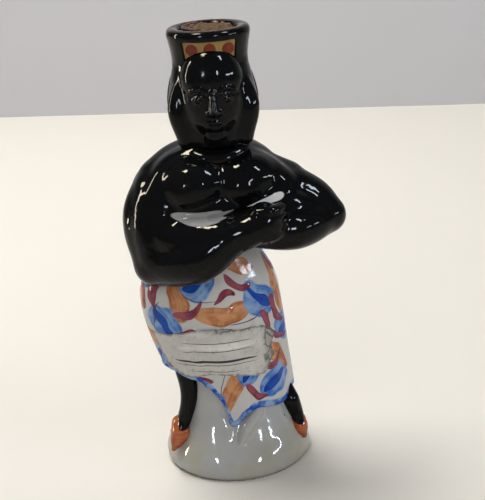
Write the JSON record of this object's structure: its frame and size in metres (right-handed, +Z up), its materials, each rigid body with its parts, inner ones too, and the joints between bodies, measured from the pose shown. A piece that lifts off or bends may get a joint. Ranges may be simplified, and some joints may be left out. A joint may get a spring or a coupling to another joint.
{
  "type": "figural miniature liquor bottle",
  "caption": "Small glazed porcelain bottle in the form of a standing woman with folded arms, painted wrap skirt, round foot, paper label and a pull-out cork in the headdress.",
  "frame": {"origin": "middle of the flat underside of the foot", "axes": "+Z up along the bottle, -Y the way the figure faces, +X to the figure's left"},
  "size_m": [0.0591, 0.0442, 0.1221],
  "materials": {
    "white_porcelain": "clear glossy glaze",
    "painted_porcelain": "hand painted under a glossy glaze",
    "black_glaze": "glossy black glaze",
    "yellow_glaze": "painted, glossy",
    "orange_glaze": "painted, glossy",
    "label_paper": "aged, creased, matt",
    "cork_bark": "dry broken cork",
    "seal_wax": "brittle sealing wax"
  },
  "bodies": {
    "bottle": {"foot_mound": "white_porcelain", "wrap_skirt": "painted_porcelain", "torso": "black_glaze", "head": "black_glaze", "headdress": "black_glaze", "diadem": "yellow_glaze", "right_arm": "black_glaze", "left_arm": "black_glaze", "right_leg": "black_glaze", "left_leg": "black_glaze", "right_shoe": "orange_glaze", "left_shoe": "orange_glaze", "paper_label": "label_paper"},
    "stopper": {"cork_stopper": "cork_bark", "seal_remnant": "seal_wax"}
  },
  "joints": [
    {"name": "cork_pull", "type": "slide", "parent": "bottle", "child": "stopper", "axis": [0, 0, 1], "range_m": [0, 0.03]}
  ]
}
